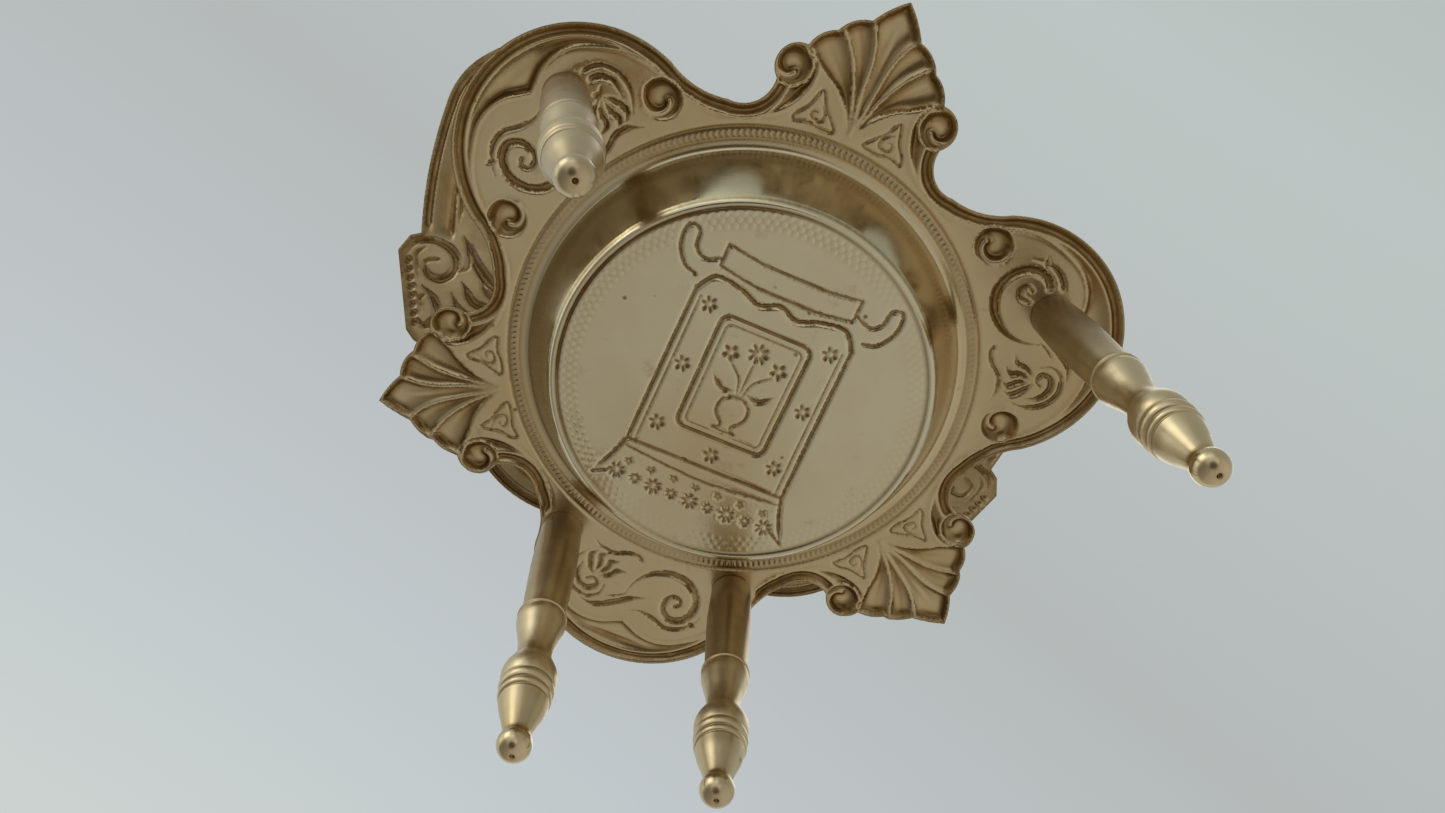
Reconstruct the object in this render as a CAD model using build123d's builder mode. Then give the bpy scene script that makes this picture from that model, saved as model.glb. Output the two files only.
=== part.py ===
"""Small brass-finished album stand: a stamped dish seat on four turned legs, with a
stamped cover plate hinged at the rear that shuts over the seat or stands up behind it.

Frame: millimetres, +Z up, the floor at Z = 0, the dish's axis on the Z axis.
The front is -Y (the wide pair of legs) and the hinge is at the rear, +Y.
"""
import os
from math import cos, radians, sin

from build123d import *

# ---------------------------------------------------------------- driving dimensions
RING_R = 32.0            # outer radius of the bead ring round the dish: sets every plate size
SHEET = 0.6              # stamped sheet thickness
SEAT_Z = 48.0            # underside of the seat plate's flat

# half of one third of the seat's outline, from a palmette's pointed tip to a lobe's crown: arcs
# through (share of RING_R, degrees from the palmette's axis)
SEAT_ARCS = [
    ((1.585, 0), (1.536, 2.0), (1.472, 4.0)),
    ((1.472, 4.0), (1.452, 6.4), (1.402, 8.5)),
    ((1.402, 8.5), (1.380, 10.6), (1.326, 12.6)),
    ((1.326, 12.6), (1.283, 17.3), (1.187, 17.2)),
    ((1.187, 17.2), (1.098, 20.4), (1.100, 26.5)),
    ((1.100, 26.5), (1.142, 31.2), (1.265, 36.0)),
    ((1.265, 36.0), (1.480, 45.0), (1.595, 60)),
]

# dish
DISH_MOUTH_R = 29.2
DISH_FLOOR_R = 24.9
DISH_DEPTH = 9.9
DISH_CORNER = 1.6
BEAD_RING_R = 30.8       # centreline of the raised ring round the mouth
BEAD_RING_W = 1.2

# legs: where each meets the seat, and how far its foot stands out of true (X, Y)
LEG_SPOTS = {
    "front_left": ((-34.6, -23.7), (7.6, -2.2)),
    "front_right": ((34.9, -22.9), (4.4, -1.4)),
    "rear_left": ((-13.6, 33.8), (2.4, 1.0)),
    "rear_right": ((12.9, 33.4), (-1.6, -2.2)),
}
BORE_DEPTH = 5.0

# the leg's turned profile as (radius, height above the foot's centre), from the foot up
FOOT_R = 2.0
DIMPLE = [(0, -1.6), (0.33, -1.9726)]
BALL = [(0.33, -1.9726), (FOOT_R, 0), (1.55, 1.264)]
CONE = [(1.55, 1.264), (1.6, 1.9), (2.05, 3.6), (2.6, 5.4), (2.94, 6.9)]
GROOVES_AND_BEADS = [
    ((2.94, 6.9), (2.8, 7.1), (2.95, 7.3)),
    ((2.95, 7.3), (3.15, 7.8), (2.95, 8.3)),
    ((2.95, 8.3), (2.88, 8.42), (3.0, 8.55)),
    ((3.0, 8.55), (3.28, 9.2), (3.14, 9.85)),
    ((3.14, 9.85), (3.08, 9.95), (3.14, 10.05)),
    ((3.14, 10.05), (3.35, 11.4), (3.12, 12.8)),
    ((3.12, 12.8), (3.0, 12.9), (2.98, 13.05)),
]
VASE = [
    (2.98, 13.05), (2.7, 13.9), (2.3, 14.8), (2.12, 16.2), (2.3, 18.2), (2.75, 20.4), (3.12, 22.4), (3.02, 23.8),
]
SHANK = [(2.74, 24.0), (2.95, 30.0), (3.1, 36.5), (3.02, 41.5), (2.85, 46.5)]

# screws with washers hold the legs from above
SCREW_R = 1.25
SCREW_HOLE_R = 1.45
SCREW_HEAD_R = 2.3
SCREW_HEAD_H = 1.4
SCREW_HEAD_ROUND = 0.84
SCREW_END_GAP = 0.3      # left below the screw in its bore
SLOT_W = 0.6
SLOT_DEPTH = 0.7
SLOT_TURN = 7            # each slot stands at its own angle: degrees per mm of the leg's X
WASHER_R = 3.2
WASHER_T = 0.4
WASHER_CHAMFER = 0.12

# hinge
HINGE_Y = 45.0
KNUCKLE_R = 1.6
HINGE_Z = SEAT_Z + SHEET + KNUCKLE_R
PIN_R = 0.8
PIN_PLAY = 0.05          # radial running clearance in the middle knuckle
PIN_HEAD_R = 1.3
PIN_HEAD_T = 0.7
PIN_HEAD_ROUND = 0.4
HINGE_W = 16.0
MIDDLE_KNUCKLE_W = 7.7
KNUCKLE_GAP = 0.3
LEAF_GAP = 2.1           # a leaf stands this far from the axis beside the other leaf's knuckle
SEAT_LEAF_L = 10.2
COVER_LEAF_L = 24.0
RIVET_X = 4.6
RIVET_UP = 19.0          # rivets' distance from the hinge line, up the cover
RIVET_R = 0.9
RIVET_HEAD_R = 1.7
RIVET_HEAD_H = 0.8
RIVET_TAIL_R = 1.445
RIVET_TAIL_H = 0.5
RIVET_TAPER = 30

# cover
COVER_ANGLE = 42.6       # how far the cover stands open from the seat's plane
MEDALLION_UP = 52.0      # centre of the round medallion above the hinge line
MEDALLION_R = 27.0
MEDALLION_DEPTH = 2.4
MEDALLION_SLOPE = 2.0    # how far the medallion's wall leans in
SOLDER_LAP = 0.01        # the pressed medallion and the flat plate overlap by this much

# half of the cover's outline in its own plane, (X, distance up from the hinge line)
COVER_FOOT_ARCS = [
    ((0, 13.6), (5.5, 13.1), (11, 12.0)),
    ((11, 12.0), (20.0, 11.2), (29.0, 15.2)),
    ((29.0, 15.2), (37.0, 20.9), (44.0, 28.6)),
]
COVER_EAR = [(44.0, 28.6), (45.6, 28.8), (47.3, 30.0), (53.7, 41.9), (53.0, 45.0), (51.6, 46.1)]
COVER_TOP_ARCS = [
    ((51.6, 46.1), (55.2, 58.0), (57.2, 70.0)),
    ((57.2, 70.0), (54.4, 82.6), (44.0, 90.0)),
    ((44.0, 90.0), (32.0, 92.0), (20.0, 89.5)),
    ((20.0, 89.5), (14.5, 88.6), (9.6, 91.0)),
    ((9.6, 91.0), (8.6, 94.2), (5.4, 95.2)),
    ((5.4, 95.2), (2.6, 96.4), (0, 98.5)),
]

os.makedirs("parts", exist_ok=True)


def write(piece, name):
    """Label a finished piece and save it."""
    piece.part.label = name
    export_step(piece.part, f"parts/{name}.step")


# ---------------------------------------------------------------- seat plate
def seat_half_third(third, hand):
    """Half of one third of the outline, turned and mirrored into its place."""

    def at(share, degrees):
        turn = radians(-90 + 120 * third + hand * degrees)
        return (share * RING_R * cos(turn), share * RING_R * sin(turn))

    for trio in SEAT_ARCS:
        ThreePointArc(*[at(*point) for point in trio])


with BuildPart() as seat_plate:
    with BuildSketch(Plane.XY.offset(SEAT_Z)):
        with BuildLine():
            for third in range(3):
                seat_half_third(third, 1)
                seat_half_third(third, -1)
        make_face()
        Circle(DISH_MOUTH_R, mode=Mode.SUBTRACT)
        with Locations(*[spot for spot, lean in LEG_SPOTS.values()]):
            Circle(SCREW_HOLE_R, mode=Mode.SUBTRACT)
    extrude(amount=SHEET)
    # dish wall and floor, one sheet thick, with rounded corners
    with BuildSketch(Plane.XZ) as dish_section:
        with BuildLine():
            Polyline(
                (0, SEAT_Z - DISH_DEPTH),
                (DISH_FLOOR_R, SEAT_Z - DISH_DEPTH),
                (DISH_MOUTH_R, SEAT_Z),
                (DISH_MOUTH_R + SHEET, SEAT_Z),
                (DISH_MOUTH_R + SHEET, SEAT_Z + SHEET),
                (DISH_MOUTH_R - SHEET, SEAT_Z + SHEET),
                (DISH_FLOOR_R - SHEET, SEAT_Z - DISH_DEPTH + SHEET),
                (0, SEAT_Z - DISH_DEPTH + SHEET),
                close=True,
            )
        make_face()
        near_corner = dish_section.vertices().filter_by(lambda v: abs(v.X - DISH_FLOOR_R) < 1)
        fillet(near_corner.sort_by(Axis.Z)[0], DISH_CORNER + SHEET)
        near_corner = dish_section.vertices().filter_by(
            lambda v: abs(v.X - DISH_FLOOR_R + SHEET) < 0.1 and v.Z > SEAT_Z - DISH_DEPTH + 0.1
        )
        fillet(near_corner, DISH_CORNER)
    revolve(axis=Axis.Z)
    # raised ring round the dish
    with BuildSketch(Plane.XZ):
        with Locations((BEAD_RING_R, SEAT_Z + SHEET)):
            Circle(BEAD_RING_W / 2)
    revolve(axis=Axis.Z)
write(seat_plate, "seat_plate")


# ---------------------------------------------------------------- turned legs
# Dimpled ball foot, egg, two beads, barrel with a turned edge, waisted vase with a shoulder, and a
# slightly swollen shank.
def turned_leg(spot, lean):
    top = Vector(spot[0], spot[1], SEAT_Z)
    foot = Vector(spot[0] + lean[0], spot[1] + lean[1], FOOT_R)
    up = (top - foot).normalized()
    side = Vector(up.Z, 0, -up.X).normalized()
    over = SHANK[-1][1] + FOOT_R
    with BuildPart() as leg:
        with BuildSketch(Plane(origin=foot, x_dir=side, z_dir=side.cross(up))):
            with BuildLine():
                Polyline(*DIMPLE)
                ThreePointArc(*BALL)
                Spline(*CONE)
                for trio in GROOVES_AND_BEADS:
                    ThreePointArc(*trio)
                Spline(*VASE)
                Line(VASE[-1], SHANK[0])
                Spline(*SHANK)
                Polyline(SHANK[-1], (SHANK[-1][0], over), (0, over), DIMPLE[0])
            make_face()
        revolve(axis=Axis(foot, up))
        split(bisect_by=Plane.XY.offset(SEAT_Z), keep=Keep.BOTTOM)
        with Locations((spot[0], spot[1], SEAT_Z)):
            Hole(SCREW_R, depth=BORE_DEPTH)
    return leg


def leg_screw(spot):
    """Slotted round-head screw, its head on the washer."""
    under_head = SEAT_Z + SHEET + WASHER_T
    with BuildPart() as screw:
        with BuildSketch(Plane.XY.offset(SEAT_Z - BORE_DEPTH + SCREW_END_GAP)):
            with Locations(spot):
                Circle(SCREW_R)
        extrude(amount=under_head - SEAT_Z + BORE_DEPTH - SCREW_END_GAP)
        with BuildSketch(Plane.XY.offset(under_head)):
            with Locations(spot):
                Circle(SCREW_HEAD_R)
        extrude(amount=SCREW_HEAD_H)
        rim = screw.edges().group_by(Axis.Z)[-1]
        fillet(rim, SCREW_HEAD_ROUND)
        with BuildSketch(Plane.XY.offset(under_head + SCREW_HEAD_H)):
            with Locations(spot):
                Rectangle(2 * SCREW_HEAD_R, SLOT_W, rotation=spot[0] * SLOT_TURN)
        extrude(amount=-SLOT_DEPTH, mode=Mode.SUBTRACT)
    return screw


def leg_washer(spot):
    with BuildPart() as washer:
        with BuildSketch(Plane.XY.offset(SEAT_Z + SHEET)):
            with Locations(spot):
                Circle(WASHER_R)
                Circle(SCREW_HOLE_R, mode=Mode.SUBTRACT)
        extrude(amount=WASHER_T)
        chamfer(washer.edges().group_by(Axis.Z)[-1].sort_by(SortBy.RADIUS)[-1], WASHER_CHAMFER)
    return washer


for corner, (spot, lean) in LEG_SPOTS.items():
    write(turned_leg(spot, lean), f"leg_{corner}")
    write(leg_screw(spot), f"screw_{corner}")
    write(leg_washer(spot), f"washer_{corner}")


# ---------------------------------------------------------------- hinge
# Each leaf is drawn in its own plane through the hinge line: local x is X, local y runs away
# from the hinge, and the plane's normal faces the other leaf when the cover is shut.
HINGE_POINT = (0, HINGE_Y, HINGE_Z)
up_cover = (0, -cos(radians(COVER_ANGLE)), sin(radians(COVER_ANGLE)))
inward = (0, -sin(radians(COVER_ANGLE)), -cos(radians(COVER_ANGLE)))
SEAT_LEAF_PLANE = Plane(origin=HINGE_POINT, x_dir=(1, 0, 0), z_dir=(0, 0, -1))
COVER_PLANE = Plane(origin=HINGE_POINT, x_dir=(1, 0, 0), z_dir=inward)

outer_inside = MIDDLE_KNUCKLE_W / 2 + KNUCKLE_GAP
OUTER_KNUCKLE_W = HINGE_W / 2 - outer_inside
ALONG_X = (0, 90, 0)

with BuildPart() as hinge_leaf_seat:
    with BuildSketch(SEAT_LEAF_PLANE.offset(KNUCKLE_R - SHEET)):
        with Locations((0, SEAT_LEAF_L / 2)):
            Rectangle(HINGE_W, SEAT_LEAF_L)
        with Locations((0, 0)):
            Rectangle(2 * outer_inside, 2 * LEAF_GAP, mode=Mode.SUBTRACT)
    extrude(amount=SHEET)
    with Locations(*[(side * (HINGE_W - OUTER_KNUCKLE_W) / 2, HINGE_Y, HINGE_Z) for side in (-1, 1)]):
        Cylinder(KNUCKLE_R, OUTER_KNUCKLE_W, rotation=ALONG_X)
        Cylinder(PIN_R, OUTER_KNUCKLE_W, rotation=ALONG_X, mode=Mode.SUBTRACT)
write(hinge_leaf_seat, "hinge_leaf_seat")

with BuildPart() as hinge_leaf_cover:
    with BuildSketch(COVER_PLANE.offset(-KNUCKLE_R)):
        with Locations((0, COVER_LEAF_L / 2)):
            Rectangle(HINGE_W, COVER_LEAF_L)
        for side in (-1, 1):
            with Locations((side * (MIDDLE_KNUCKLE_W / 2 + HINGE_W / 4), 0)):
                Rectangle(HINGE_W / 2, 2 * LEAF_GAP, mode=Mode.SUBTRACT)
            with Locations((side * RIVET_X, RIVET_UP)):
                Circle(RIVET_R, mode=Mode.SUBTRACT)
    extrude(amount=SHEET)
    with Locations(HINGE_POINT):
        Cylinder(KNUCKLE_R, MIDDLE_KNUCKLE_W, rotation=ALONG_X)
        Cylinder(PIN_R + PIN_PLAY, MIDDLE_KNUCKLE_W, rotation=ALONG_X, mode=Mode.SUBTRACT)
write(hinge_leaf_cover, "hinge_leaf_cover")

with BuildPart() as hinge_pin:
    with BuildSketch(Plane.YZ.offset(-HINGE_W / 2)):
        with Locations((HINGE_Y, HINGE_Z)):
            Circle(PIN_R)
    extrude(amount=HINGE_W)
    for side in (-1, 1):
        with BuildSketch(Plane.YZ.offset(side * HINGE_W / 2)):
            with Locations((HINGE_Y, HINGE_Z)):
                Circle(PIN_HEAD_R)
        extrude(amount=side * PIN_HEAD_T)
    fillet(hinge_pin.edges().sort_by(Axis.X)[0], PIN_HEAD_ROUND)
    fillet(hinge_pin.edges().sort_by(Axis.X)[-1], PIN_HEAD_ROUND)
write(hinge_pin, "hinge_pin")


# ---------------------------------------------------------------- cover plate
# Scalloped foot, ear with chamfered corners, round shoulder, top rail and a small pointed crest.
def cover_half(hand):
    def at(across, up):
        return (hand * across, up)

    for trio in COVER_FOOT_ARCS + COVER_TOP_ARCS:
        ThreePointArc(*[at(*point) for point in trio])
    Polyline(*[at(*point) for point in COVER_EAR])


with BuildPart() as cover_plate:
    with BuildSketch(COVER_PLANE.offset(-KNUCKLE_R - SHEET)):
        with BuildLine():
            cover_half(1)
            cover_half(-1)
        make_face()
        with Locations((0, MEDALLION_UP)):
            Circle(MEDALLION_R - SOLDER_LAP, mode=Mode.SUBTRACT)
        for side in (-1, 1):
            with Locations((side * RIVET_X, RIVET_UP)):
                Circle(RIVET_R, mode=Mode.SUBTRACT)
    extrude(amount=SHEET)
    # round medallion, pressed outwards by its own depth
    medallion_axis = COVER_PLANE.offset(-KNUCKLE_R - SHEET)
    centre = medallion_axis.from_local_coords(Vector(0, MEDALLION_UP, 0))
    with BuildSketch(Plane(origin=centre, x_dir=(1, 0, 0), z_dir=Vector(*up_cover) * -1)):
        with BuildLine():
            Polyline(
                (0, -MEDALLION_DEPTH),
                (MEDALLION_R - MEDALLION_SLOPE, -MEDALLION_DEPTH),
                (MEDALLION_R, 0),
                (MEDALLION_R + SHEET, 0),
                (MEDALLION_R + SHEET, SHEET),
                (MEDALLION_R - SHEET, SHEET),
                (MEDALLION_R - MEDALLION_SLOPE - SHEET, SHEET - MEDALLION_DEPTH),
                (0, SHEET - MEDALLION_DEPTH),
                close=True,
            )
        make_face()
    revolve(axis=Axis(centre, inward))
write(cover_plate, "cover_plate")

for side, hand in (("left", -1), ("right", 1)):
    outside = COVER_PLANE.offset(-KNUCKLE_R - SHEET)
    inside = COVER_PLANE.offset(-KNUCKLE_R + SHEET)
    with BuildPart() as rivet:
        with BuildSketch(outside):
            with Locations((hand * RIVET_X, RIVET_UP)):
                Circle(RIVET_R)
        extrude(amount=2 * SHEET)
        with BuildSketch(outside):
            with Locations((hand * RIVET_X, RIVET_UP)):
                Circle(RIVET_HEAD_R)
        extrude(amount=-RIVET_HEAD_H, taper=RIVET_TAPER)
        with BuildSketch(inside):
            with Locations((hand * RIVET_X, RIVET_UP)):
                Circle(RIVET_TAIL_R)
        extrude(amount=RIVET_TAIL_H, taper=RIVET_TAPER)
    write(rivet, f"rivet_{side}")
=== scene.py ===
"""Looks of the photo album stand: embossed plates, turned legs, hinge and screws in aged satin brass."""
import math
import bpy
import numpy as np
from mathutils import Matrix, Vector
from mathutils.geometry import delaunay_2d_cdt
from mathutils.kdtree import KDTree


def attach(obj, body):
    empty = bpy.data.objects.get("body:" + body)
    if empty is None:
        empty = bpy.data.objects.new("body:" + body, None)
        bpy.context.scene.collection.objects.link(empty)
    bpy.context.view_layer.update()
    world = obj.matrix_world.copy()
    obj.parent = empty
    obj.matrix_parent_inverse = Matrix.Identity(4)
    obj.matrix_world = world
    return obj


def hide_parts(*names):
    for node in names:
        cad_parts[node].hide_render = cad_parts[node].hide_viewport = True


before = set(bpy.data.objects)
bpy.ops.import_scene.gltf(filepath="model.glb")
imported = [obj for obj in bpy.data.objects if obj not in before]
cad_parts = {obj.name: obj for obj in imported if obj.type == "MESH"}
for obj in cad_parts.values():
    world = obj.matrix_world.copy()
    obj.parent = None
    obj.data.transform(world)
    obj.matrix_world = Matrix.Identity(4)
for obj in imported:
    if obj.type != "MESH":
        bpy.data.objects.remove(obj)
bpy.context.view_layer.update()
MM = 0.001


# ---------- nodes
class Nodes:
    """Short names for building the nodes of a material or of the world."""

    def __init__(self, owner):
        owner.use_nodes = True
        self.tree = owner.node_tree

    def add(self, kind, **settings):
        """A new node. A setting is one of its properties or the value of an input."""
        node = self.tree.nodes.new(kind)
        for key, value in settings.items():
            if hasattr(node, key):
                setattr(node, key, value)
            else:
                node.inputs[key].default_value = value
        return node

    def link(self, source, target):
        self.tree.links.new(source, target)

    def place(self):
        return self.add("ShaderNodeTexCoord").outputs["Object"]

    def noise(self, scale, detail=3.0, rough=0.55, place=None):
        node = self.add("ShaderNodeTexNoise", Scale=scale, Detail=detail, Roughness=rough)
        self.link(place or self.place(), node.inputs["Vector"])
        return node.outputs["Fac"]

    def span(self, value, low, high, to_low=0.0, to_high=1.0):
        node = self.add("ShaderNodeMapRange")
        self.link(value, node.inputs["Value"])
        for key, number in (("From Min", low), ("From Max", high), ("To Min", to_low), ("To Max", to_high)):
            node.inputs[key].default_value = number
        return node.outputs[0]

    def attribute(self, name):
        return self.add("ShaderNodeAttribute", attribute_name=name).outputs["Fac"]

    def math(self, how, a, b):
        node = self.add("ShaderNodeMath", operation=how)
        for socket, value in zip(node.inputs, (a, b)):
            if isinstance(value, (int, float)):
                socket.default_value = value
            else:
                self.link(value, socket)
        return node.outputs[0]

    def times(self, a, b):
        return self.math("MULTIPLY", a, b)

    def blend(self, factor, a, b):
        node = self.add("ShaderNodeMix", data_type="RGBA")
        self.link(factor, node.inputs["Factor"])
        for key, value in (("A", a), ("B", b)):
            if isinstance(value, tuple):
                node.inputs[key].default_value = (*value, 1)
            else:
                self.link(value, node.inputs[key])
        return node.outputs["Result"]


# ---------- camera, floor, light
def camera():
    """The stand is seen from under its seat, a little from the front and left."""
    data = bpy.data.cameras.new("camera")
    data.sensor_width = 36
    data.lens = 29.3
    data.clip_start = 0.005
    cam = bpy.data.objects.new("camera", data)
    ahead = Vector((0.12590, 0.35679, 0.92567))
    up = Vector((-0.37652, -0.84608, 0.37733))
    side = ahead.cross(up).normalized()
    up = side.cross(ahead)
    turn = Matrix((side, up, -ahead)).transposed()
    cam.matrix_world = Matrix.Translation(Vector((-20.39, -51.09, -102.10)) * MM) @ turn.to_4x4()
    bpy.context.collection.objects.link(cam)
    bpy.context.scene.camera = cam


def lamp(name, at, aim, width, height, watts):
    """A soft rectangular lamp. Its place, aim and size are in metres."""
    data = bpy.data.lights.new(name, "AREA")
    data.shape = "RECTANGLE"
    data.size, data.size_y = width, height
    data.energy = watts
    box = bpy.data.objects.new(name, data)
    box.location = Vector(at)
    box.rotation_mode = "QUATERNION"
    box.rotation_quaternion = (Vector(aim) - Vector(at)).to_track_quat("-Z", "Y")
    bpy.context.collection.objects.link(box)


def floor():
    """A pale floor under the feet. Its underside is clear, because the camera looks up from below it."""
    half = 15.0
    corners = [(-half, -half, 0), (half, -half, 0), (half, half, 0), (-half, half, 0)]
    mesh = bpy.data.meshes.new("floor")
    mesh.from_pydata(corners, [], [(0, 1, 2, 3)])
    slab = bpy.data.objects.new("floor", mesh)
    bpy.context.collection.objects.link(slab)
    mat = bpy.data.materials.new("floor")
    n = Nodes(mat)
    n.tree.nodes.remove(n.tree.nodes["Principled BSDF"])
    mix = n.add("ShaderNodeMixShader")
    pale = n.add("ShaderNodeBsdfDiffuse", Color=(0.72, 0.73, 0.74, 1))
    n.link(n.add("ShaderNodeNewGeometry").outputs["Backfacing"], mix.inputs[0])
    n.link(pale.outputs[0], mix.inputs[1])
    n.link(n.add("ShaderNodeBsdfTransparent").outputs[0], mix.inputs[2])
    n.link(mix.outputs[0], n.tree.nodes["Material Output"].inputs[0])
    mesh.materials.append(mat)
    slab.visible_shadow = False
    slab.visible_diffuse = False
    slab.visible_glossy = False


def surroundings():
    """Soft room light: pale overhead and at the sides, dimmer below, brightest from the left."""
    world = bpy.data.worlds.new("world")
    bpy.context.scene.world = world
    n = Nodes(world)
    where = n.add("ShaderNodeTexCoord").outputs["Generated"]

    def gradient(along, levels):
        """Colour by how far a direction points along an axis: position 0 is against it, 1 is along it."""
        dot = n.add("ShaderNodeVectorMath", operation="DOT_PRODUCT")
        dot.inputs[1].default_value = along
        ramp = n.add("ShaderNodeValToRGB")
        while len(ramp.color_ramp.elements) < len(levels):
            ramp.color_ramp.elements.new(0.5)
        for element, (position, colour) in zip(ramp.color_ramp.elements, levels):
            element.position = position
            element.color = (*colour, 1)
        n.link(where, dot.inputs[0])
        n.link(n.span(dot.outputs["Value"], -1, 1), ramp.inputs[0])
        return ramp.outputs[0]

    above = gradient((-0.25, 0.90, -0.30), (
        (0.0, (0.36, 0.385, 0.375)), (0.16, (0.42, 0.455, 0.445)), (0.3, (0.51, 0.56, 0.55)),
        (0.5, (0.46, 0.49, 0.485)), (0.65, (0.53, 0.57, 0.59)), (0.78, (0.61, 0.66, 0.64)),
        (1.0, (0.58, 0.62, 0.60))))
    below = gradient((0.93, 0.0, -0.37), (
        (0.2, (0.22, 0.215, 0.20)), (0.45, (0.31, 0.305, 0.29)), (0.6, (0.43, 0.42, 0.40)),
        (0.73, (0.46, 0.45, 0.43)), (0.82, (0.50, 0.495, 0.475)), (1.0, (0.56, 0.56, 0.54))))
    level = gradient((0, 0, 1), ((0.46, (0, 0, 0)), (0.54, (1, 1, 1))))
    colour = n.blend(level, below, above)
    # the photographer stands in the way below, windows light the left, and below the near side is paler
    patches = (
        ((-0.30, -0.50, -0.81), ((0.941, (1, 1, 1)), (0.982, (0.16, 0.13, 0.10)))),
        ((-0.71, -0.695, 0.12), ((0.90, (1, 1, 1)), (0.975, (1.60, 1.62, 1.64)))),
        ((-0.965, -0.10, 0.24), ((0.91, (1, 1, 1)), (0.985, (1.9, 1.87, 1.8)))),
        ((-0.50, -0.74, -0.45), ((0.88, (1, 1, 1)), (0.965, (1.95, 2.02, 2.15)))),
    )
    for patch in patches:
        times = n.add("ShaderNodeMix", data_type="RGBA", blend_type="MULTIPLY", Factor=1.0)
        n.link(colour, times.inputs["A"])
        n.link(gradient(*patch), times.inputs["B"])
        colour = times.outputs["Result"]
    n.link(colour, n.tree.nodes["Background"].inputs["Color"])
    bpy.context.scene.view_settings.view_transform = "Standard"


camera()
floor()
surroundings()
lamp("key", (-1.30, -0.65, 0.55), (0, 0, 0.04), 0.70, 0.80, 1.5)
lamp("top", (0.3, 0.2, 1.0), (0, 0, 0.05), 1.0, 1.0, 2.5)


# ---------- lines and relief, all in mm
def arc(start, through, end, step=0.1):
    """Points along the circle through three points, the first included and the last left out."""
    a, b, c = (complex(*p) for p in (start, through, end))
    w = (c - a) / (b - a)
    centre = (b - a) * (w - abs(w) ** 2) / (2j * w.imag) + a
    turn = np.angle((c - centre) / (a - centre))
    first = np.angle((b - centre) / (a - centre))
    if first * turn < 0 or abs(first) > abs(turn):
        turn -= math.copysign(2 * math.pi, turn)
    count = max(2, int(abs(turn) * abs(a - centre) / step))
    on = centre + (a - centre) * np.exp(1j * turn * np.arange(count) / count)
    return np.stack([on.real, on.imag], -1)


def arcs(points, step):
    """Arcs end to end. Every second point lies on the middle of an arc."""
    return np.vstack([arc(*points[k : k + 3], step) for k in range(0, len(points) - 2, 2)])


def smooth(points, closed=False, step=0.1):
    """A curve through a few points (Catmull-Rom), sampled every step mm."""
    p = np.array(points, float)
    if closed:
        p = np.vstack([p[-1:], p, p[:2]])
    else:
        p = np.vstack([2 * p[0] - p[1], p, 2 * p[-1] - p[-2]])
    runs = []
    for p0, p1, p2, p3 in zip(p, p[1:], p[2:], p[3:]):
        count = max(2, int(np.linalg.norm(p2 - p1) / step))
        t = (np.arange(count) / count)[:, None]
        runs.append(0.5 * (2 * p1 + (p2 - p0) * t + (2 * p0 - 5 * p1 + 4 * p2 - p3) * t**2
                           + (3 * p1 - p0 - 3 * p2 + p3) * t**3))
    if not closed:
        runs.append(p[-2:-1])
    return np.vstack(runs)


def mirror(line):
    return line * np.array([-1, 1])


def right_half(spots):
    """The same spots, those left of the axis put at their mirror places."""
    return np.stack([np.abs(spots[:, 0]), spots[:, 1]], -1)


def three_fold(z):
    """Three copies of complex places, turned by thirds of a turn, as points."""
    whole = np.concatenate([z * np.exp(2j * np.pi * k / 3) for k in range(3)])
    return np.stack([whole.real, whole.imag], -1)


def away(spots, place):
    """Distance from each spot to one place."""
    return np.linalg.norm(spots - np.array(place), axis=1)


BLOCK = 4000         # spots measured at a time, to save memory


def reach(spots, line, far, with_place=False):
    """Distance from each spot to a sampled line, no more than far, and where along it (0 to 1)."""
    d = np.full(len(spots), float(far))
    place = np.zeros(len(spots))
    low, high = line.min(0) - far, line.max(0) + far
    inside = np.flatnonzero(np.all((spots > low) & (spots < high), axis=1))
    for k in range(0, len(inside), BLOCK):
        part = inside[k : k + BLOCK]
        gap = ((spots[part, None, :] - line[None]) ** 2).sum(-1)
        best = gap.argmin(1)
        d[part] = np.minimum(far, np.sqrt(gap[np.arange(len(part)), best]))
        place[part] = best / (len(line) - 1)
    return (d, place) if with_place else d


def within(spots, ring):
    """True for the spots inside a closed line."""
    inside = np.zeros(len(spots), bool)
    x, y = spots.T
    for (x0, y0), (x1, y1) in zip(ring, np.roll(ring, -1, axis=0)):
        if y0 == y1:
            continue
        crosses = (y0 > y) != (y1 > y)
        inside ^= crosses & (x < (x1 - x0) * (y - y0) / (y1 - y0) + x0)
    return inside


def swell(d, width):
    """Rises from 0 on a line to 1 at width from it, like the side of a rounded hollow."""
    return np.sin(np.pi / 2 * np.clip(d / width, 0, 1))


def scallop(d, width):
    """Rises from 0 on a line to 1 at width from it as a round flute does, steep at the line."""
    t = np.clip((d + 0.04) / width, 0, 1)
    return np.sqrt(1 - (1 - t) ** 2)


def ridge(d, width):
    """1 on a line, falling away smoothly within about twice the width."""
    return np.exp(-((d / width) ** 2))


def ease(x, low, high):
    """Rises smoothly from 0 at low to 1 at high."""
    t = np.clip((x - low) / (high - low), 0, 1)
    return t * t * (3 - 2 * t)


CREASE = 0.34        # how wide the side of a pressed line is


def taper(place, half, start, end):
    """Half the width of a pressed line at each place along it, 0 to 1."""
    return half * (start + (1 - start) * ease(place, 0, 0.35)) * (end + (1 - end) * ease(1 - place, 0, 0.35))


def stroke(spots, line, half, depth, start=0.25, end=0.25):
    """A pressed line: half its width in the middle, its depth, and how thin each end is."""
    d, place = reach(spots, line, half * 1.05, with_place=True)
    wide = taper(place, half, start, end)
    return depth * np.sqrt(np.clip(wide / half, 0, 1)) * swell(wide - d, CREASE)


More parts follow.
